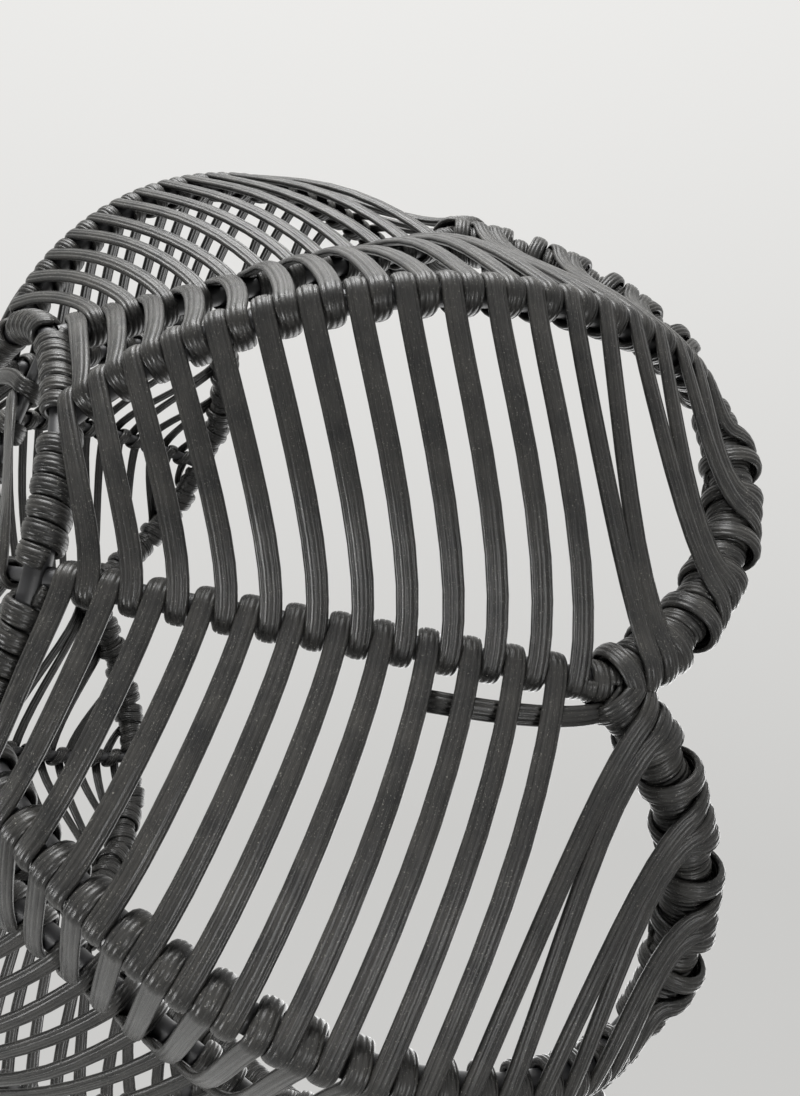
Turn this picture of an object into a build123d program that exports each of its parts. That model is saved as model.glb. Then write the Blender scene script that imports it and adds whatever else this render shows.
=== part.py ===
from build123d import *
import math
import os

# Woven fruit basket: wire ribs stand on a wrapped base ring and carry petal-shaped rim wires.
# Flat-oval plastic strand runs round the wall and makes one full turn round every rib.
# Millimetres, +Z up. The origin is on the floor, under the middle of the base ring.

# Petals and wires
petals = 6
base_radius = 53.0
base_wire = 4.0
rib_wire = 4.0
rim_wire = 5.0
spoke_wire = 2.4
hub_radius = 10.0
foot_flat = 0.1

# Strand
strand_width = 3.5
strand_thickness = 1.5
strand_gap = 0.1
seat_gap = 0.05

# Valley ribs end in a cusp of the rim, crest ribs end at a petal's tip.
# Each rib is an arc that starts at the base ring. Leans are degrees above the floor.
valley_length = 93.0
valley_foot_lean = 48.0
valley_end_lean = 51.0
crest_length = 144.5
crest_foot_lean = 8.0
crest_end_lean = 102.0

# Weave
first_course = 7.2
base_course_margin = 9.0
base_course_step = 9.0
tail_length = 26.0
corner_turn = 60.0

# Worked out from the sizes above
rib_count = 2 * petals
rib_step = 360.0 / rib_count
base_wrap_radius = base_wire / 2 + seat_gap + strand_thickness
rim_wrap_radius = rim_wire / 2 + seat_gap + strand_thickness
base_height = base_wrap_radius - foot_flat
pass_step = strand_width + strand_gap
course_step = 2 * pass_step


def polar(radius, azimuth, height):
    """Point at an azimuth in degrees round the basket's axis."""
    angle = math.radians(azimuth)
    return Vector(radius * math.cos(angle), radius * math.sin(angle), height)


def turn_radius(wire, layers):
    """Corner radius of a turn of strand round a wire, under (0) or over (1) the strand."""
    across_flats = wire / 2 + seat_gap + layers * strand_thickness
    return across_flats / math.cos(math.radians(corner_turn / 2))


class Rib:
    """One rib wire: an arc in the upright plane at its azimuth."""

    def __init__(self, azimuth, length, foot_lean, end_lean):
        self.azimuth = azimuth
        self.diameter = rib_wire
        self.length = length
        self.foot = math.radians(foot_lean)
        self.bend = length / math.radians(end_lean - foot_lean)

    def lean(self, travel):
        return self.foot + travel / self.bend

    def point(self, travel):
        lean = self.lean(travel)
        radius = base_radius + self.bend * (math.sin(lean) - math.sin(self.foot))
        height = base_height + self.bend * (math.cos(self.foot) - math.cos(lean))
        return polar(radius, self.azimuth, height)

    def along(self, travel):
        lean = self.lean(travel)
        return polar(math.cos(lean), self.azimuth, math.sin(lean))

    def outward(self, travel):
        lean = self.lean(travel)
        return polar(math.sin(lean), self.azimuth, -math.cos(lean))

    def wire(self, end):
        """The rib's wire, from the base ring's surface to a length along its arc."""
        start = base_wire / 2 + seat_gap
        path = ThreePointArc(self.point(start), self.point((start + end) / 2), self.point(end))
        return sweep(Plane(path @ 0, z_dir=path % 0) * Circle(self.diameter / 2), path)


class Spoke(Rib):
    """A straight wire of the base, from the hub to the base ring. It is woven as a rib is."""

    def __init__(self, azimuth):
        self.azimuth = azimuth
        self.diameter = spoke_wire

    def lean(self, travel):
        return 0.0

    def point(self, travel):
        return polar(hub_radius + travel, self.azimuth, base_height)

    def wire(self, end):
        start = base_wire / 2 + seat_gap
        rod = Cylinder(self.diameter / 2, end - start, align=(Align.CENTER, Align.CENTER, Align.MIN))
        return Plane(self.point(start), z_dir=self.along(start)) * rod


def valley_rib(azimuth):
    return Rib(azimuth, valley_length, valley_foot_lean, valley_end_lean)


def crest_rib(azimuth):
    return Rib(azimuth, crest_length, crest_foot_lean, crest_end_lean)


def rib_at(index):
    """Ribs are counted round the basket: even ones are valleys, odd ones are crests."""
    azimuth = index * rib_step
    return crest_rib(azimuth) if index % 2 else valley_rib(azimuth)


def strand_solid(stations):
    """Strand as a ruled loft through (inner, outer, width) stations, a flat section at each."""
    sections = []
    for inner, outer, width in stations:
        half = width * (strand_width / 2)
        corners = [inner - half, outer - half, outer + half, inner + half]
        sections.append(Wire.make_polygon(corners, close=True))
    return Solid.make_loft(sections, ruled=True)


def side_angle(rib, travel, heading):
    """Angle round the rib, from its outer side, where a strand with this heading lies against it."""
    across = rib.along(travel).cross(rib.outward(travel))
    return math.atan2(-heading.dot(rib.outward(travel)), heading.dot(across))


def turn_station(rib, travel, angle, shift):
    """Section of strand at an angle round the rib, shifted along the rib."""
    outward = rib.outward(travel)
    along = rib.along(travel)
    centre = rib.point(travel) + along * shift
    facing = outward * math.cos(angle) + along.cross(outward) * math.sin(angle)
    inner = centre + facing * turn_radius(rib.diameter, 0)
    outer = centre + facing * turn_radius(rib.diameter, 1)
    return (inner, outer, along)


def full_turn(rib, travel, heading_in, heading_out):
    """One turn round a rib: it arrives on the rim side and leaves on the base side."""
    start = side_angle(rib, travel, heading_in)
    end = side_angle(rib, travel, heading_out) + 2 * math.pi
    corners = math.ceil((end - start) / math.radians(corner_turn))
    crossing = math.radians(120)
    stations = []
    for corner in range(corners + 1):
        angle = start + (end - start) * corner / corners
        side = max(-1, min(1, (math.pi - angle) / crossing))
        stations.append(turn_station(rib, travel, angle, side * pass_step / 2))
    return stations


def short_of(station, previous):
    """The station drawn back towards the previous one, so that two lengths of strand don't touch."""
    back = (previous[0] - station[0]).normalized() * strand_gap
    return (station[0] + back, station[1] + back, station[2])


def round_the_wall(ribs, travel):
    """One course of strand, a solid for each rib: its full turn, then the span to the next rib."""
    count = len(ribs)
    points = [rib.point(travel) for rib in ribs]
    headings = [(points[(i + 1) % count] - points[i]).normalized() for i in range(count)]
    turns = [full_turn(ribs[i], travel, headings[i - 1], headings[i]) for i in range(count)]
    solids = []
    for i in range(count):
        arrival = short_of(turns[(i + 1) % count][0], turns[i][-1])
        solids.append(strand_solid(turns[i] + [arrival]))
    return Compound(children=solids)


class Petal:
    """One petal of the rim: an arc from cusp to cusp, with its tip on the crest rib."""

    def __init__(self, index):
        self.azimuth = (2 * index + 1) * rib_step
        cusp = valley_rib(self.azimuth - rib_step).point(valley_length)
        next_cusp = valley_rib(self.azimuth + rib_step).point(valley_length)
        self.arc = ThreePointArc(cusp, crest_rib(self.azimuth).point(crest_length), next_cusp)

    def point(self, share):
        """Point on the petal's centre line: 0 is the first cusp, 0.5 the tip, 1 the next cusp."""
        return self.arc @ share

    def tube(self, radius, start, end, bore=0.0):
        """Round tube along a share of the petal's centre line."""
        path = self.arc.trim(start, end)
        section = Circle(radius)
        if bore:
            section = Circle(radius) - Circle(bore)
        return sweep(Plane(path @ 0, z_dir=path % 0) * section, path)

    def trimmed(self, tube, margin):
        """The tube cut back to a margin from the valley ribs on both sides, like a mitre."""
        far = 4 * (base_radius + crest_length)
        past_first = Box(far, far, far, align=(Align.CENTER, Align.MIN, Align.CENTER))
        before_next = Box(far, far, far, align=(Align.CENTER, Align.MAX, Align.CENTER))
        tube = tube & (Rot(0, 0, self.azimuth - rib_step) * Pos(0, margin, 0) * past_first)
        return tube & (Rot(0, 0, self.azimuth + rib_step) * Pos(0, -margin, 0) * before_next)


def base_ring():
    """Ring of wire that the ribs stand on."""
    return Pos(0, 0, base_height) * Torus(base_radius, base_wire / 2)


def base_ring_wrap():
    """Strand wound round the base ring between the ribs, pressed flat where the basket stands."""
    gap = math.degrees((rib_wire / 2 + seat_gap) / (base_radius - base_wrap_radius))
    room = 4 * base_radius
    above_floor = Box(room, room, room, align=(Align.CENTER, Align.CENTER, Align.MIN))
    section = Circle(base_wrap_radius) - Circle(base_wire / 2 + seat_gap)
    sleeves = []
    for index in range(rib_count):
        start = index * rib_step + gap
        path = Pos(0, 0, base_height) * CenterArc((0, 0, 0), base_radius, start, rib_step - 2 * gap)
        sleeve = sweep(Plane(path @ 0, z_dir=path % 0) * section, path)
        sleeves.append(sleeve & above_floor)
    return Compound(children=sleeves)


def base_hub():
    """Small ring in the middle of the base, where the spokes end."""
    return Pos(0, 0, base_height) * Torus(hub_radius, base_wire / 2)


def base_spoke(azimuth):
    """Wire from the hub to the base ring, in line with a valley rib."""
    return Spoke(azimuth).wire(base_radius - hub_radius - base_wire / 2 - seat_gap)


def base_weave():
    """Open courses of strand round the spokes, from the hub out to the base ring."""
    spokes = [Spoke(index * 2 * rib_step) for index in range(petals)]
    room = base_radius - hub_radius - 2 * base_course_margin
    courses = int(room / base_course_step) + 1
    first = base_course_margin + (room - (courses - 1) * base_course_step) / 2
    rounds = [round_the_wall(spokes, first + course * base_course_step) for course in range(courses)]
    return Compound(children=[solid for course in rounds for solid in course.solids()])


def wall_course(course):
    """One round of strand on all the ribs."""
    ribs = [rib_at(index) for index in range(rib_count)]
    return round_the_wall(ribs, first_course + course * course_step)


def petal_wire(petal):
    """Rim wire of one petal, mitred against the valley ribs at its two cusps."""
    return petal.trimmed(petal.tube(rim_wire / 2, 0, 1), rib_wire / 2 + seat_gap)


def petal_wrap(petal):
    """Strand wound closely round a petal's rim wire, in two lengths that leave room for the crest rib."""
    margin = turn_radius(rib_wire, 1) + seat_gap
    tip_gap = (rib_wire / 2 + seat_gap) / petal.arc.length
    bore = rim_wire / 2 + seat_gap
    first = petal.trimmed(petal.tube(rim_wrap_radius, 0, 0.5 - tip_gap, bore), margin)
    second = petal.trimmed(petal.tube(rim_wrap_radius, 0.5 + tip_gap, 1, bore), margin)
    return Compound(children=[first, second])


def rim_station(rib, travel, point, heading, side):
    """Strand on the outer side of the wrapped rim, side by side with the other strand of its pair."""
    outward = heading.cross(rib.along(travel)).normalized()
    outward = outward * (1 if outward.dot(rib.outward(travel)) > 0 else -1)
    width = outward.cross(heading).normalized()
    width = width * (1 if width.dot(rib.along(travel)) > 0 else -1)
    point = point + width * (side * pass_step / 2)
    inner = rim_wrap_radius + seat_gap
    return (point + outward * inner, point + outward * (inner + strand_thickness), width)


def tip_strands(petal):
    """Strand beyond the cusps: from the rim, a full turn round the crest rib, and back to the rim.

    It reaches the rim in pairs, where it goes round the rim and comes back.
    """
    rib = crest_rib(petal.azimuth)
    pairs = math.ceil(tip_count / 2)
    solids = []
    for index in range(tip_count):
        travel = last_course + (index + 1) * course_step
        anchor = 0.5 * (index // 2 + 0.5) / pairs
        side = 1 if index % 2 else -1
        before = petal.point(anchor)
        after = petal.point(1 - anchor)
        heading_in = (rib.point(travel) - before).normalized()
        heading_out = (after - rib.point(travel)).normalized()
        turn = full_turn(rib, travel, heading_in, heading_out)
        start = rim_station(rib, travel, before, heading_in, side)
        end = rim_station(rib, travel, after, heading_out, side)
        solids.append(strand_solid([start, short_of(turn[0], start)]))
        solids.append(strand_solid(turn + [end]))
    return Compound(children=solids)


def strand_tail():
    """Loose end of the strand, tucked behind the wall beside one valley rib and below the rim."""
    rib = valley_rib(0)
    crest = crest_rib(rib_step)
    away = 2 * turn_radius(rib_wire, 1)
    stations = []
    for back in (tail_length, tail_length / 2, 0.0):
        travel = last_course + course_step - back
        toward = (crest.point(travel) - rib.point(travel)).normalized()
        place = rib.point(travel) + toward * away
        outer = place + rib.outward(travel) * (rib_wire / 2)
        inner = outer - rib.outward(travel) * strand_thickness
        stations.append((inner, outer, toward))
    return strand_solid(stations)


def save(shape, name):
    shape.label = name
    export_step(shape, f"parts/{name}.step")


room_on_valley = valley_length - rim_wire / 2 - seat_gap - pass_step - first_course
wall_courses = int(room_on_valley / course_step) + 1
last_course = first_course + (wall_courses - 1) * course_step
room_on_tip = crest_length - rim_wrap_radius - pass_step - last_course
tip_count = int(room_on_tip / course_step)

os.makedirs("parts", exist_ok=True)
save(base_ring(), "base_ring")
save(base_ring_wrap(), "base_ring_wrap")
save(base_hub(), "base_hub_ring")
save(base_weave(), "base_weave")
save(strand_tail(), "strand_tail")
for index in range(petals):
    number = index + 1
    petal = Petal(index)
    valley = valley_rib(2 * index * rib_step)
    crest = crest_rib(petal.azimuth)
    save(base_spoke(valley.azimuth), f"base_spoke_{number}")
    save(valley.wire(valley_length + rim_wire / 2), f"valley_rib_{number}")
    save(crest.wire(crest_length - rim_wire / 2 - seat_gap), f"crest_rib_{number}")
    save(petal_wire(petal), f"petal_rim_wire_{number}")
    save(petal_wrap(petal), f"petal_rim_wrap_{number}")
    save(tip_strands(petal), f"petal_tip_strand_{number}")
for course in range(wall_courses):
    save(wall_course(course), f"wall_strand_course_{course + 1}")
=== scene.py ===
import math
import random

import bpy
import numpy as np
from mathutils import Matrix, Vector


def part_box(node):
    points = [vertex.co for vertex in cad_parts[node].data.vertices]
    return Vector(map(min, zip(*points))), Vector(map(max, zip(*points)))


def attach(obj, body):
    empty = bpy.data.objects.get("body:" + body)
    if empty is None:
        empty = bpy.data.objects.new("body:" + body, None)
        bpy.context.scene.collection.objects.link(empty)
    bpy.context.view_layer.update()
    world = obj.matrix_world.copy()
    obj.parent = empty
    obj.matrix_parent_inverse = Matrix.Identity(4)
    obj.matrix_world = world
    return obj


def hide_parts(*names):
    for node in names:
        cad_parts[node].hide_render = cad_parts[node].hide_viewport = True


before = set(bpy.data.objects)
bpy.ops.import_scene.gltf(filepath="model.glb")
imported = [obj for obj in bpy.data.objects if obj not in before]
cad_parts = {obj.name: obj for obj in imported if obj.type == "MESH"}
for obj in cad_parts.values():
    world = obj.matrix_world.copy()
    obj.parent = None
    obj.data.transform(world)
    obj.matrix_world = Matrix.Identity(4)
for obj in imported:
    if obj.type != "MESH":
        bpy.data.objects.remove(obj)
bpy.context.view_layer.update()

# Woven fruit basket. Lengths are in metres, in the frame's own axes: +Z up, the floor at zero. Azimuths
# and leans are in degrees. A travel is a length along a rib, from its foot on the base ring.
mm = 0.001


# Base ring
# A ring of steel rod. The basket stands on it, and every rib is welded to it. Like all the wires of the
# frame, it has a satin black powder coat with fine orange peel.
ring_low, ring_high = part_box("base_ring")
base_wire = ring_high.z - ring_low.z
base_height = (ring_high.z + ring_low.z) / 2
base_radius = (ring_high.x - ring_low.x - base_wire) / 2

powder_black = (0.010, 0.010, 0.011, 1.0)
powder_sheen = {"To Min": 0.38, "To Max": 0.55}
powder_grain = 0.25 * mm
powder_relief = 0.05 * mm


def node_tools(tree):
    """Functions that add a node to a tree, with its socket values and settings, and link two sockets."""

    def add(kind, values=None, **settings):
        node = tree.nodes.new(kind)
        for key, setting in settings.items():
            setattr(node, key, setting)
        for socket, value in (values or {}).items():
            node.inputs[socket].default_value = value
        return node

    return add, tree.links.new


def powder_coat():
    """Satin black powder coat: an even colour, with a fine grain in its sheen and its relief."""
    material = bpy.data.materials.new("black_powder_coat")
    material.use_nodes = True
    shader = material.node_tree.nodes["Principled BSDF"]
    shader.inputs["Base Color"].default_value = powder_black
    add, link = node_tools(material.node_tree)
    place = add("ShaderNodeTexCoord")
    peel = add("ShaderNodeTexNoise", {"Scale": 1 / powder_grain, "Detail": 3})
    sheen = add("ShaderNodeMapRange", powder_sheen)
    bump = add("ShaderNodeBump", {"Strength": 0.25, "Distance": powder_relief})
    link(place.outputs["Object"], peel.inputs["Vector"])
    link(peel.outputs["Fac"], sheen.inputs["Value"])
    link(sheen.outputs["Result"], shader.inputs["Roughness"])
    link(peel.outputs["Fac"], bump.inputs["Height"])
    link(bump.outputs["Normal"], shader.inputs["Normal"])
    return material


coated = powder_coat()


def coat(node):
    """Gives a wire of the frame its powder coat."""
    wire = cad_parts[node]
    for place in wire.material_slots:
        place.material = coated


coat("base_ring")


# Hub and spokes
# A small ring in the middle of the base, and thin rods from it to the base ring. Each spoke is in line
# with a valley rib. All are steel, coated like the base ring, and welded at their ends.
hub_low, hub_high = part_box("base_hub_ring")
hub_radius = (hub_high.x - hub_low.x - base_wire) / 2
spoke_low, spoke_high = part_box("base_spoke_1")
spoke_wire = spoke_high.z - spoke_low.z
spoke_count = 6

coat("base_hub_ring")
for spoke in range(spoke_count):
    coat(f"base_spoke_{spoke + 1}")


# Ribs
# Bent steel rod, coated, and welded to the base ring. Valley ribs rise nearly straight to a cusp of the
# rim, and crest ribs belly out to a petal's tip. Both are arcs in upright planes.
rib_count = 12
rib_step = 360 / rib_count
valley_length = 93 * mm
valley_leans = (48, 51)
crest_length = 144.5 * mm
crest_leans = (8, 102)
upright_low, upright_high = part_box("crest_rib_2")
rib_wire = upright_high.x - upright_low.x


def polar(radius, azimuth, height):
    """Point at an azimuth round the basket's axis."""
    angle = math.radians(azimuth)
    return Vector((radius * math.cos(angle), radius * math.sin(angle), height))


class Rib:
    """A wire that the cane is woven on: an arc in the upright plane at its azimuth."""

    def __init__(self, azimuth, length, foot_lean, end_lean):
        self.azimuth = azimuth
        self.wire = rib_wire
        self.foot = math.radians(foot_lean)
        self.bend = length / math.radians(end_lean - foot_lean)

    def lean(self, travel):
        return self.foot + travel / self.bend

    def point(self, travel):
        lean = self.lean(travel)
        radius = base_radius + self.bend * (math.sin(lean) - math.sin(self.foot))
        height = base_height + self.bend * (math.cos(self.foot) - math.cos(lean))
        return polar(radius, self.azimuth, height)

    def along(self, travel):
        lean = self.lean(travel)
        return polar(math.cos(lean), self.azimuth, math.sin(lean))

    def outward(self, travel):
        lean = self.lean(travel)
        return polar(math.sin(lean), self.azimuth, -math.cos(lean))


def rib_at(index):
    """Ribs are counted round the basket: even ones are valleys, odd ones are crests."""
    if index % 2:
        return Rib(index * rib_step, crest_length, *crest_leans)
    return Rib(index * rib_step, valley_length, *valley_leans)


ribs = [rib_at(index) for index in range(rib_count)]
for pair in range(rib_count // 2):
    coat(f"valley_rib_{pair + 1}")
    coat(f"crest_rib_{pair + 1}")


# Rim wires
# Each petal of the rim is one bow of thicker coated rod. Its ends are mitred and welded to the valley
# ribs at the cusps, and its middle is welded to the end of a crest rib.
rim_wire = 5 * mm
petal_count = 6


class Petal:
    """The bow of one petal: an arc through two cusps and the tip of a crest rib."""

    def __init__(self, index):
        self.rib = rib_at(2 * index + 1)
        cusp = rib_at(2 * index).point(valley_length)
        next_cusp = rib_at(2 * index + 2).point(valley_length)
        tip = self.rib.point(crest_length)
        middle = (cusp + next_cusp) / 2
        half = (cusp - middle).length
        reach = (tip - middle).length
        self.radius = (half**2 + reach**2) / (2 * reach)
        self.forward = (tip - middle).normalized()
        self.side = (cusp - middle).normalized()
        self.centre = tip - self.forward * self.radius
        self.opening = math.asin(half / self.radius)
        if reach > self.radius:
            self.opening = math.pi - self.opening
        self.length = 2 * self.opening * self.radius
        self.normal = self.side.cross(self.forward)
        if self.normal.dot(self.rib.outward(crest_length)) < 0:
            self.normal = -self.normal

    def frame_at(self, share):
        """Middle of the rod, the way out of the arc, and the way out of the basket. 0.5 is the tip."""
        angle = self.opening * (1 - 2 * share)
        out = self.forward * math.cos(angle) + self.side * math.sin(angle)
        return self.centre + out * self.radius, out, self.normal


petals = [Petal(index) for index in range(petal_count)]
for index in range(petal_count):
    coat(f"petal_rim_wire_{index + 1}")


# Base ring winding
# Extruded black plastic cane, a flat oval with shallow grooves along it, wound closely round the base
# ring. A length of winding lies between each two ribs, pressed flat where the basket stands.
strand_width = 3.6 * mm
strand_thickness = 1.6 * mm
strand_pitch = 3.6 * mm
seat_gap = 0.05 * mm
rib_room = 2.6 * mm
winding_stations = 20

edge_roundness = 2.4
edge_places = (-0.97, -0.87, 0.86, 0.97)
grooves = ((-0.60, 0.45), (-0.02, 0.16), (0.54, 0.45))
groove_width = 0.09

cane_dark = (0.010, 0.010, 0.010, 1.0)
cane_light = (0.026, 0.025, 0.023, 1.0)
cane_tones = ((0.3, cane_dark), (0.75, cane_light))
cane_dust = (0.16, 0.155, 0.14, 1.0)
cane_specular = 0.35
cane_sheen = {"To Min": 0.14, "To Max": 0.40}
cane_cloud = 5 * mm
cane_speckle = 0.22 * mm
dust_share = {"From Min": 0.66, "From Max": 0.74, "To Max": 0.8}
speckle_relief = 0.04 * mm
streak_stretch = (70, 0.35, 1)
streak_relief = 0.07 * mm


def cane_outline():
    """Outline of the cane's section: across its width, and out from its middle."""
    face = [(place, 0) for place in edge_places]
    for place, depth in grooves:
        face += [(place - groove_width, 0), (place, depth), (place + groove_width, 0)]
    face.sort()
    across = [-1]
    out = [0]
    for side, order in ((1, face), (-1, face[::-1])):
        for wide, depth in order:
            across.append(wide)
            out.append(side * (1 - abs(wide) ** edge_roundness) ** 0.5 * (1 - depth))
        across.append(side)
        out.append(0)
    across.pop()
    out.pop()
    return np.array(across) * strand_width / 2, np.array(out) * strand_thickness / 2


def unit(rows, shortest=1e-9):
    """Rows of vectors, each made one long."""
    return rows / np.maximum(np.linalg.norm(rows, axis=1), shortest)[:, None]


class CaneWork:
    """Mesh of one piece of cane work, gathered from lengths of cane."""

    def __init__(self):
        self.across, self.out = cane_outline()
        self.vertices = []
        self.faces = []
        self.marks = []
        self.count = 0

    def lay(self, path, facing, closed=False):
        """Adds cane along a path. Its flat outer side looks the way of the facing vectors."""
        path = np.array([tuple(point) for point in path])
        facing = np.array([tuple(way) for way in facing])
        if closed:
            heading = np.roll(path, -1, axis=0) - np.roll(path, 1, axis=0)
        else:
            heading = np.gradient(path, axis=0)
        heading = unit(heading)
        width = unit(np.cross(heading, facing))
        outward = np.cross(width, heading)
        rows = path[:, None, :] + width[:, None, :] * self.across[None, :, None]
        rows = rows + outward[:, None, :] * self.out[None, :, None]
        self.vertices.append(rows.reshape(-1, 3))

        length = len(path)
        sides = len(self.across)
        steps = np.linalg.norm(np.roll(path, -1, axis=0) - path, axis=1) / strand_width
        marks = np.concatenate([[0], np.cumsum(steps)])
        for row in range(length if closed else length - 1):
            here = self.count + row * sides
            there = self.count + (row + 1) % length * sides
            start, end = marks[row], marks[row + 1]
            for side in range(sides):
                beside = (side + 1) % sides
                self.faces.append((here + side, here + beside, there + beside, there + side))
                left, right = side / sides, (side + 1) / sides
                self.marks.extend(((left, start), (right, start), (right, end), (left, end)))
        if not closed:
            first = [self.count + side for side in range(sides)]
            last = [vertex + (length - 1) * sides for vertex in first]
            for cap in (first[::-1], last):
                self.faces.append(tuple(cap))
                self.marks.extend([(0.5, 0.0)] * sides)
        self.count += length * sides

    def piece(self, name, node):
        """The finished piece, pressed flat on the floor. It takes the place of its plain CAD node."""
        mesh = bpy.data.meshes.new(name)
        vertices = np.vstack(self.vertices)
        vertices[:, 2] = np.maximum(vertices[:, 2], 0.0)
        mesh.from_pydata(vertices.tolist(), [], self.faces)
        along = mesh.uv_layers.new(name="along_the_cane")
        along.data.foreach_set("uv", np.array(self.marks, np.float32).ravel())
        mesh.polygons.foreach_set("use_smooth", [True] * len(mesh.polygons))
        mesh.materials.append(cane)
        mesh.validate()
        work = bpy.data.objects.new(name, mesh)
        bpy.context.scene.collection.objects.link(work)
        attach(work, "root")
        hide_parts(node)


def black_cane():
    """Satin black plastic, cloudy in tone, with specks of dust, fine speckle and drawn streaks."""
    material = bpy.data.materials.new("black_plastic_cane")
    material.use_nodes = True
    shader = material.node_tree.nodes["Principled BSDF"]
    shader.inputs["Specular IOR Level"].default_value = cane_specular
    add, link = node_tools(material.node_tree)
    place = add("ShaderNodeTexCoord")
    cloud = add("ShaderNodeTexNoise", {"Scale": 1 / cane_cloud, "Detail": 6})
    tone = add("ShaderNodeValToRGB")
    for stop, (position, colour) in zip(tone.color_ramp.elements, cane_tones):
        stop.position = position
        stop.color = colour
    dust = add("ShaderNodeTexNoise", {"Scale": 1 / cane_speckle, "Detail": 1})
    few = add("ShaderNodeMapRange", dust_share)
    dusty = add("ShaderNodeMix", {"B": cane_dust}, data_type="RGBA")
    link(place.outputs["Object"], cloud.inputs["Vector"])
    link(cloud.outputs["Fac"], tone.inputs["Fac"])
    link(place.outputs["Object"], dust.inputs["Vector"])
    link(dust.outputs["Fac"], few.inputs["Value"])
    link(few.outputs["Result"], dusty.inputs["Factor"])
    link(tone.outputs["Color"], dusty.inputs["A"])
    link(dusty.outputs["Result"], shader.inputs["Base Color"])

    stretch = add("ShaderNodeMapping", {"Scale": streak_stretch})
    streaks = add("ShaderNodeTexNoise", {"Scale": 1, "Detail": 4})
    sheen = add("ShaderNodeMapRange", cane_sheen)
    link(place.outputs["UV"], stretch.inputs["Vector"])
    link(stretch.outputs["Vector"], streaks.inputs["Vector"])
    link(streaks.outputs["Fac"], sheen.inputs["Value"])
    link(sheen.outputs["Result"], shader.inputs["Roughness"])

    speckle = add("ShaderNodeTexNoise", {"Scale": 1 / cane_speckle, "Detail": 2})
    grain = add("ShaderNodeBump", {"Strength": 0.35, "Distance": speckle_relief})
    drawn = add("ShaderNodeBump", {"Strength": 0.5, "Distance": streak_relief})
    link(place.outputs["Object"], speckle.inputs["Vector"])
    link(speckle.outputs["Fac"], grain.inputs["Height"])
    link(streaks.outputs["Fac"], drawn.inputs["Height"])
    link(grain.outputs["Normal"], drawn.inputs["Normal"])
    link(drawn.outputs["Normal"], shader.inputs["Normal"])
    return material


cane = black_cane()


def winding(wire_at, length, wire, lift=None):
    """Path and facing of cane wound closely along a stretch of wire.

    For a share of the stretch, wire_at gives the middle of the wire and two ways square to it, and lift
    gives how proud the winding stands.
    """
    turns = max(1, round(length / strand_pitch))
    path = []
    facing = []
    for step in range(turns * winding_stations + 1):
        share = step / (turns * winding_stations)
        middle, one, other = wire_at(share)
        angle = 2 * math.pi * turns * share
        out = one * math.cos(angle) + other * math.sin(angle)
        radius = wire / 2 + seat_gap + strand_thickness / 2
        if lift:
            radius += lift(share)
        path.append(middle + out * radius)
        facing.append(out)
    return path, facing


def ring_stretch(first, sweep):
    """A stretch of the base ring, for winding."""

    def wire_at(share):
        azimuth = first + sweep * share
        return polar(base_radius, azimuth, base_height), polar(1, azimuth, 0), Vector((0, 0, 1))

    return wire_at


base_winding = CaneWork()
room = math.degrees(rib_room / base_radius)
sweep = rib_step - 2 * room
for rib in range(rib_count):
    stretch = ring_stretch(rib * rib_step + room, sweep)
    base_winding.lay(*winding(stretch, base_radius * math.radians(sweep), base_wire))
base_winding.piece("base_ring_winding", "base_ring_wrap")


# Base weave
# Open rounds of the same cane over the spokes, which close the base. Each round makes a full turn round
# every spoke, and the turns hold it in place.
base_course_margin = 9 * mm
base_course_step = 9 * mm
base_slack = 0.3 * mm
turn_stations = 26
span_stations = 13
crossing = math.radians(120)
spring = 0.75
least_bow = 0.010
most_bow = 0.030

hand_seed = 11
hand = random.Random(hand_seed)


def clamp(value, most):
    """The value, kept between minus most and most."""
    return max(-most, min(most, value))


class Spoke(Rib):
    """A straight wire of the base, from the hub to the base ring."""

    def __init__(self, azimuth):
        self.azimuth = azimuth
        self.wire = spoke_wire

    def lean(self, travel):
        return 0.0

    def point(self, travel):
        return polar(hub_radius + travel, self.azimuth, base_height)


def side_angle(rib, travel, heading):
    """Angle round the rib, from its outer side, where cane with this heading lies against it."""
    across = rib.along(travel).cross(rib.outward(travel))
    return math.atan2(-heading.dot(rib.outward(travel)), heading.dot(across))


def full_turn(rib, travel, heading_in, heading_out):
    """Path and facing of one turn round a rib: in on the rim side, out on the base side."""
    start = side_angle(rib, travel, heading_in)
    end = side_angle(rib, travel, heading_out) + 2 * math.pi
    outward = rib.outward(travel)
    along = rib.along(travel)
    across = along.cross(outward)
    radius = rib.wire / 2 + seat_gap + strand_thickness / 2
    path = []
    facing = []
    for station in range(turn_stations + 1):
        angle = start + (end - start) * station / turn_stations
        side = math.sin(clamp((math.pi - angle) / crossing, 1) * math.pi / 2)
        out = outward * math.cos(angle) + across * math.sin(angle)
        path.append(rib.point(travel) + along * (side * strand_pitch / 2) + out * radius)
        facing.append(out)
    return path, facing


def span(path, facing, next_path, next_facing, bow):
    """Springy cane between two turns. It leaves and meets them square to the ribs, and bows outward."""
    start, end = path[-1], next_path[0]
    run = (end - start).length
    leave = (path[-1] - path[-2]).normalized() * run * spring
    meet = (next_path[1] - next_path[0]).normalized() * run * spring
    middle_way = (facing[-1] + next_facing[0]).normalized()
    span_path = []
    span_facing = []
    for station in range(1, span_stations):
        share = (1 - math.cos(math.pi * station / span_stations)) / 2
        near = 1 - share
        place = start * (near * near * (1 + 2 * share)) + end * (share * share * (3 - 2 * share))
        place = place + leave * (share * near * near) - meet * (share * share * near)
        span_path.append(place + middle_way * (bow * run * math.sin(math.pi * share) ** 2))
        span_facing.append(facing[-1].lerp(next_facing[0], share).normalized())
    return span_path, span_facing


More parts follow.
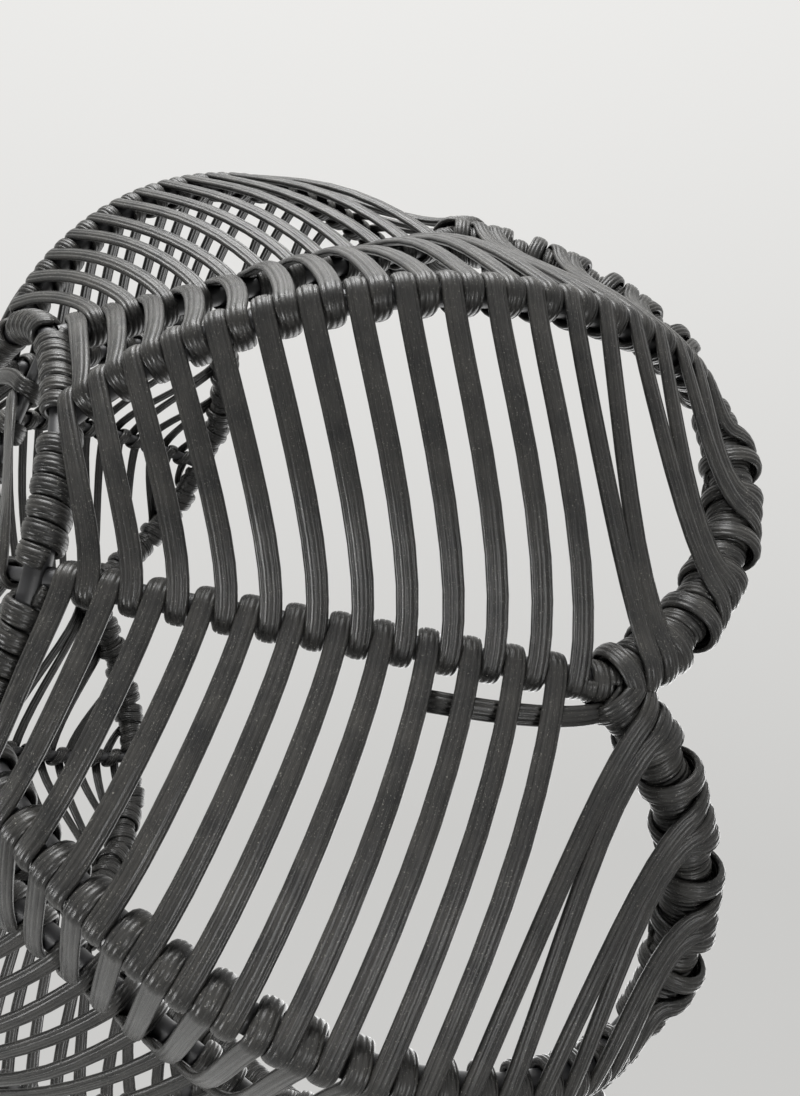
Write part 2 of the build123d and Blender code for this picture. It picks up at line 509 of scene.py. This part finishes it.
def lay_round(work, wires, travel, slack):
    """Lays one closed round of cane on the wires. Slack is how far hand work strays along a wire."""
    count = len(wires)
    travels = [travel + hand.uniform(-slack, slack) for _ in wires]
    points = [wire.point(place) for wire, place in zip(wires, travels)]
    headings = [(points[(i + 1) % count] - points[i]).normalized() for i in range(count)]
    turns = [full_turn(wires[i], travels[i], headings[i - 1], headings[i]) for i in range(count)]
    path = []
    facing = []
    for i in range(count):
        after = turns[(i + 1) % count]
        run_path, run_facing = span(*turns[i], *after, hand.uniform(least_bow, most_bow))
        path += turns[i][0] + run_path
        facing += turns[i][1] + run_facing
    work.lay(path, facing, closed=True)


spokes = [Spoke(2 * spoke * rib_step) for spoke in range(spoke_count)]
base_room = base_radius - hub_radius - 2 * base_course_margin
base_courses = int(base_room / base_course_step) + 1
base_first = base_course_margin + (base_room - (base_courses - 1) * base_course_step) / 2
base_weave = CaneWork()
for course in range(base_courses):
    lay_round(base_weave, spokes, base_first + course * base_course_step, base_slack)
base_weave.piece("base_weave_cane", "base_weave")


# Wall weave
# Rounds of the same cane, close packed on the ribs: each makes a full turn round every rib, so two passes
# lie side by side on the outside of a rib, and one crosses behind it.
first_course = 7.2 * mm
course_step = 2 * strand_pitch
wall_slack = 0.25 * mm
wall_courses = sum(name.startswith("wall_strand_course_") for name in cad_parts)
last_course = first_course + (wall_courses - 1) * course_step

for course in range(wall_courses):
    wall = CaneWork()
    lay_round(wall, ribs, first_course + course * course_step, wall_slack)
    wall.piece(f"wall_cane_{course + 1}", f"wall_strand_course_{course + 1}")


# Rim winding
# The same cane, wound closely round the rim wires in groups of turns that stand a little proud. At each
# cusp it also goes round the end of the valley rib, and ties the two petals to it.
group_lift = 0.5 * mm
groups_on_half = 4
calm_at_tip = 0.6
cusp_room = 2.2 * mm
tip_room = 2.4 * mm
cusp_turns = 2
cusp_start = valley_length - 0.7 * strand_pitch
cusp_end = valley_length + 0.4 * strand_pitch


def group_height(share):
    """How proud the winding stands: groups of turns, each thickest in its middle."""
    half_share = min(share, 1 - share) * 2
    wave = math.sin(math.pi * half_share * groups_on_half) ** 2
    return group_lift * wave * (1 - calm_at_tip * half_share)


def rim_stretch(petal, low, high):
    """A stretch of a petal's rod, for winding, and how proud the winding stands along it."""

    def wire_at(share):
        return petal.frame_at(low + (high - low) * share)

    def lift(share):
        return group_height(low + (high - low) * share)

    return wire_at, lift


def cusp_stretch(valley):
    """The end of a valley rib, for winding."""

    def wire_at(share):
        travel = cusp_start + (cusp_end - cusp_start) * share
        outward = valley.outward(travel)
        return valley.point(travel), outward, valley.along(travel).cross(outward)

    return wire_at


for index, petal in enumerate(petals):
    rim = CaneWork()
    start = cusp_room / petal.length
    end = 0.5 - tip_room / petal.length
    for low, high in ((start, end), (1 - end, 1 - start)):
        stretch, lift = rim_stretch(petal, low, high)
        rim.lay(*winding(stretch, (high - low) * petal.length, rim_wire, lift))
    rim.lay(*winding(cusp_stretch(ribs[2 * index]), cusp_turns * strand_pitch, rib_wire))
    rim.piece(f"rim_winding_{index + 1}", f"petal_rim_wrap_{index + 1}")


# Petal tips
# Beyond the cusps the cane runs from the rim round the crest rib and back to the rim. Its ends are coiled
# round the wound rim in pairs, and tucked in.
tip_count = 7
tip_pairs = 4
tip_bow = 0.006
coil_angle = 620
coil_stations = 40
most_slant = 0.45
tuck_from = 0.7
tuck_depth = 0.5 * strand_thickness


def rim_coil(petal, share, way, side, leaving):
    """Cane coiled round the wound rim, away from its pair. It meets the rim with this heading."""
    middle, out, normal = petal.frame_at(share)
    axis = out.cross(normal)
    slant = clamp(way.dot(axis), most_slant)
    across = out if way.dot(out) > 0 else -out
    radius = rim_wire / 2 + 2 * seat_gap + 1.5 * strand_thickness
    path = []
    facing = []
    for station in range(coil_stations + 1):
        turned = coil_angle * station / coil_stations
        angle = math.radians(turned if leaving else -turned)
        face = normal * math.cos(angle) + across * math.sin(angle)
        drift = slant * radius * math.sin(clamp(angle, math.pi / 2))
        advance = side * strand_pitch * (0.5 + turned / 360)
        tuck = tuck_depth * max(0, turned / coil_angle - tuck_from)
        path.append(middle + face * (radius - tuck) + axis * (drift + advance))
        facing.append(face)
    if not leaving:
        path.reverse()
        facing.reverse()
    return path, facing


for index, petal in enumerate(petals):
    tips = CaneWork()
    for strand in range(tip_count):
        travel = last_course + (strand + 1) * course_step
        share = 0.5 * (strand // 2 + 0.5) / tip_pairs
        side = 1 if strand % 2 else -1
        waist = petal.rib.point(travel)
        way_in = (waist - petal.frame_at(share)[0]).normalized()
        way_out = (petal.frame_at(1 - share)[0] - waist).normalized()
        start = rim_coil(petal, share, way_in, side, False)
        turn = full_turn(petal.rib, travel, way_in, way_out)
        end = rim_coil(petal, 1 - share, way_out, -side, True)
        first = span(*start, *turn, tip_bow)
        second = span(*turn, *end, tip_bow)
        path = start[0] + first[0] + turn[0] + second[0] + end[0]
        facing = start[1] + first[1] + turn[1] + second[1] + end[1]
        tips.lay(path, facing)
    tips.piece(f"petal_tip_cane_{index + 1}", f"petal_tip_strand_{index + 1}")


# Loose end
# The last end of the cane. It lies behind the wall beside one valley rib, sags a little, and is tucked
# into the winding of the rim.
tail_low, tail_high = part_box("strand_tail")
tail_side = (tail_low.y + tail_high.y) / 2
tail_start = Vector((tail_low.x, tail_side, tail_low.z))
tail_rim = Vector((tail_high.x, tail_side, tail_high.z))
tail_rim_share = 0.03
tail_end = petals[0].frame_at(tail_rim_share)[0]
tail_sag = 0.8 * mm
tail_stations = 16
tail_face = Vector((0.72, 0, -0.7))
tail_twist = Vector((0, 0.5, 0))

tail = CaneWork()
tail_path = []
tail_facing = []
for station in range(tail_stations + 1):
    share = station / tail_stations
    near = 1 - share
    place = tail_start * near**2 + tail_rim * (2 * share * near) + tail_end * share**2
    sag = tail_sag * math.sin(math.pi * share)
    tail_path.append(place + Vector((sag, 0, -sag)))
    tail_facing.append(tail_face + tail_twist * share)
tail.lay(tail_path, tail_facing)
tail.piece("tucked_cane_end", "strand_tail")


# Floor, backdrop and light
# A matt floor, open from below to the camera and the lamps, and a sky. Both are pale to camera and mirror
# rays only, and add no light to the basket. Three soft lamps light the outside of the wall, one the rest.
floor_size = 40.0
floor_drop = 0.2 * mm
floor_glow = 0.5
floor_roughness = 0.9
pale_floor = (0.72, 0.72, 0.70, 1.0)
pale_bright = (0.84, 0.835, 0.82, 1.0)
pale_dim = (0.60, 0.597, 0.585, 1.0)
sky_up = (0.06, -0.94, -0.34)
sky_fade = {"From Min": -0.5, "From Max": 0.5}
room_light = (0.9, 0.9, 0.9, 1.0)
room_strength = 0.03
view_target = (0.0301, -0.0279, 0.1035)
near_wall = (0.085, 0.03, 0.03)
bowl_middle = (0, 0, 0.05)


def background_rays(add, link):
    """Socket that is 1 to the camera, in mirrors and through glass, and 0 to the rays that light things."""
    rays = add("ShaderNodeLightPath")
    mirrored = add("ShaderNodeMath", operation="MAXIMUM")
    shown = add("ShaderNodeMath", operation="MAXIMUM")
    link(rays.outputs["Is Glossy Ray"], mirrored.inputs[0])
    link(rays.outputs["Is Transmission Ray"], mirrored.inputs[1])
    link(rays.outputs["Is Camera Ray"], shown.inputs[0])
    link(mirrored.outputs["Value"], shown.inputs[1])
    return shown.outputs["Value"]


def floor_paint():
    """Pale matt floor, which keeps the basket's shadow and is open to view from underneath."""
    material = bpy.data.materials.new("pale_floor")
    material.use_nodes = True
    tree = material.node_tree
    shader = tree.nodes["Principled BSDF"]
    shader.inputs["Base Color"].default_value = pale_floor
    shader.inputs["Roughness"].default_value = floor_roughness
    add, link = node_tools(tree)
    level = add("ShaderNodeMath", {1: floor_glow}, operation="MULTIPLY")
    pale = add("ShaderNodeEmission", {"Color": pale_floor})
    both = add("ShaderNodeAddShader")
    under = add("ShaderNodeNewGeometry")
    clear = add("ShaderNodeBsdfTransparent")
    either = add("ShaderNodeMixShader")
    link(background_rays(add, link), level.inputs[0])
    link(level.outputs["Value"], pale.inputs["Strength"])
    link(shader.outputs["BSDF"], both.inputs[0])
    link(pale.outputs["Emission"], both.inputs[1])
    link(under.outputs["Backfacing"], either.inputs["Fac"])
    link(both.outputs["Shader"], either.inputs[1])
    link(clear.outputs["BSDF"], either.inputs[2])
    link(either.outputs["Shader"], tree.nodes["Material Output"].inputs["Surface"])
    return material


def pale_room():
    """A dim even light all round, behind a pale sky that is lighter towards the camera's top."""
    world = bpy.data.worlds.new("pale_room")
    world.use_nodes = True
    tree = world.node_tree
    glow = tree.nodes["Background"]
    glow.inputs["Color"].default_value = room_light
    glow.inputs["Strength"].default_value = room_strength
    add, link = node_tools(tree)
    toward = add("ShaderNodeTexCoord")
    height = add("ShaderNodeVectorMath", {1: sky_up}, operation="DOT_PRODUCT")
    fade = add("ShaderNodeMapRange", sky_fade)
    shade = add("ShaderNodeValToRGB")
    shade.color_ramp.elements[0].color = pale_dim
    shade.color_ramp.elements[1].color = pale_bright
    seen = add("ShaderNodeBackground")
    either = add("ShaderNodeMixShader")
    link(toward.outputs["Generated"], height.inputs[0])
    link(height.outputs["Value"], fade.inputs["Value"])
    link(fade.outputs["Result"], shade.inputs["Fac"])
    link(shade.outputs["Color"], seen.inputs["Color"])
    link(background_rays(add, link), either.inputs["Fac"])
    link(glow.outputs["Background"], either.inputs[1])
    link(seen.outputs["Background"], either.inputs[2])
    link(either.outputs["Shader"], tree.nodes["World Output"].inputs["Surface"])
    return world


def soft_lamp(name, place, target, size, watts):
    """A square soft box that looks at a target."""
    data = bpy.data.lights.new(name, "AREA")
    data.shape = "SQUARE"
    data.size = size
    data.energy = watts
    lamp = bpy.data.objects.new(name, data)
    bpy.context.scene.collection.objects.link(lamp)
    lamp.location = place
    aim = Vector(target) - Vector(place)
    lamp.rotation_euler = aim.to_track_quat("-Z", "Y").to_euler()


bpy.ops.mesh.primitive_plane_add(size=floor_size, location=(0, 0, -floor_drop))
floor = bpy.context.object
floor.name = "floor"
floor.data.materials.append(floor_paint())
floor.visible_shadow = False

bpy.context.scene.world = pale_room()
soft_lamp("key_lamp", (0.03, -0.54, -0.16), view_target, size=0.34, watts=15)
soft_lamp("low_lamp", (-0.04, 0.24, -0.32), view_target, size=0.08, watts=1.2)
soft_lamp("glint_lamp", (0.34, 0.12, -0.06), near_wall, size=0.06, watts=0.55)
soft_lamp("top_lamp", (-0.3, 0.3, 1.3), bowl_middle, size=1.2, watts=12)


# Camera
# It looks up at the outside of the wall from beside and below the base, close by, through a wide lens.
# The base is on its left, and its top is towards -Y.
camera_place = Vector((0.1722, 0.0013, -0.0342))
camera_target = Vector(view_target)
camera_top = Vector((-0.0244, -0.9725, -0.2317))
camera_lens = 22.99
camera_sensor = 36
camera_clip = 10 * mm

camera_data = bpy.data.cameras.new("camera")
camera_data.sensor_width = camera_sensor
camera_data.lens = camera_lens
camera_data.clip_start = camera_clip
camera = bpy.data.objects.new("camera", camera_data)
bpy.context.scene.collection.objects.link(camera)
look = (camera_target - camera_place).normalized()
right = look.cross(camera_top).normalized()
top = right.cross(look)
camera.location = camera_place
camera.rotation_euler = Matrix((right, top, -look)).transposed().to_euler()
bpy.context.scene.camera = camera
bpy.context.scene.view_settings.view_transform = "Standard"
